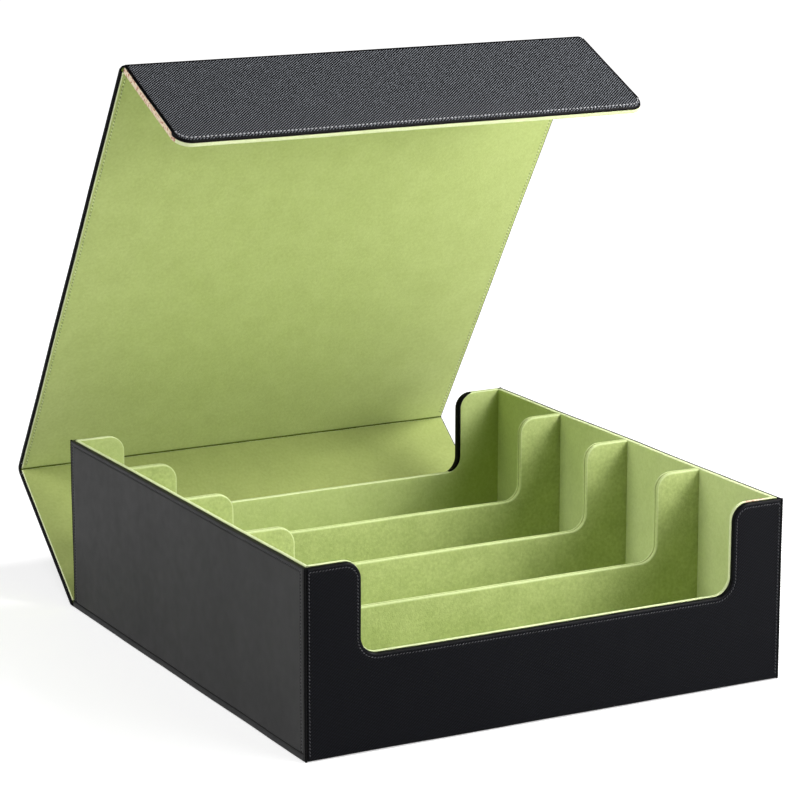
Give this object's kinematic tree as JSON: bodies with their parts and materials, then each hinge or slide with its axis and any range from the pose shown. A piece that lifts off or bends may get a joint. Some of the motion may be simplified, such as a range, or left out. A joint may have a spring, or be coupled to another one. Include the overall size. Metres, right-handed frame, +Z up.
{
  "type": "trading card storage box",
  "caption": "Hinged storage box for sleeved trading cards: padded rows with finger cut-outs under a creased wrap-round cover that folds over the top and down the front.",
  "frame": {"origin": "middle of the tray underside, where the box stands on the table", "axes": "+X to the right along the rows, +Y to the rear where the cover is hinged, +Z up; the front wall faces -Y"},
  "size_m": [0.318, 0.4263, 0.3626],
  "materials": {
    "skin": "satin",
    "piping": "satin",
    "board": "matte",
    "lining": "matte",
    "divider_cover": "matte",
    "magnet": "satin"
  },
  "bodies": {
    "tray": {"base_skin": "skin", "base_board": "board", "base_lining": "lining", "floor_board": "board", "floor_lining": "lining", "left_wall_skin": "skin", "left_wall_board": "board", "left_wall_lining": "lining", "right_wall_skin": "skin", "right_wall_board": "board", "right_wall_lining": "lining", "front_wall_skin": "skin", "front_wall_board": "board", "front_wall_lining": "lining", "front_wall_magnet_left": "magnet", "front_wall_magnet_right": "magnet", "rear_wall_skin": "skin", "rear_wall_board": "board", "rear_wall_lining": "lining", "divider_1_board": "board", "divider_1_cover": "divider_cover", "divider_2_board": "board", "divider_2_cover": "divider_cover", "divider_3_board": "board", "divider_3_cover": "divider_cover", "front_left_piping": "piping", "front_right_piping": "piping", "rear_left_piping": "piping", "rear_right_piping": "piping", "back_crease_skin": "skin", "back_crease_lining": "lining"},
    "back_panel": {"back_skin": "skin", "back_board": "board", "back_lining": "lining", "lid_crease_skin": "skin", "lid_crease_lining": "lining"},
    "lid": {"lid_skin": "skin", "lid_board": "board", "lid_lining": "lining", "flap_crease_skin": "skin", "flap_crease_lining": "lining"},
    "flap": {"flap_skin": "skin", "flap_board": "board", "flap_lining": "lining", "flap_magnet_left": "magnet", "flap_magnet_right": "magnet"}
  },
  "joints": [
    {"name": "back_hinge", "type": "hinge", "parent": "tray", "child": "back_panel", "pos_m": [0, 0.169, 0.005], "axis": [1, 0, 0], "range_deg": [-39, 51], "deforming": ["back_crease_skin", "back_crease_lining"]},
    {"name": "lid_hinge", "type": "hinge", "parent": "back_panel", "child": "lid", "pos_m": [0, 0.25332, 0.07328], "axis": [1, 0, 0], "range_deg": [-84, 6], "deforming": ["lid_crease_skin", "lid_crease_lining"]},
    {"name": "flap_hinge", "type": "hinge", "parent": "lid", "child": "flap", "pos_m": [0, 0.06869, 0.35759], "axis": [1, 0, 0], "range_deg": [-81.5, 8.5], "deforming": ["flap_crease_skin", "flap_crease_lining"]}
  ]
}
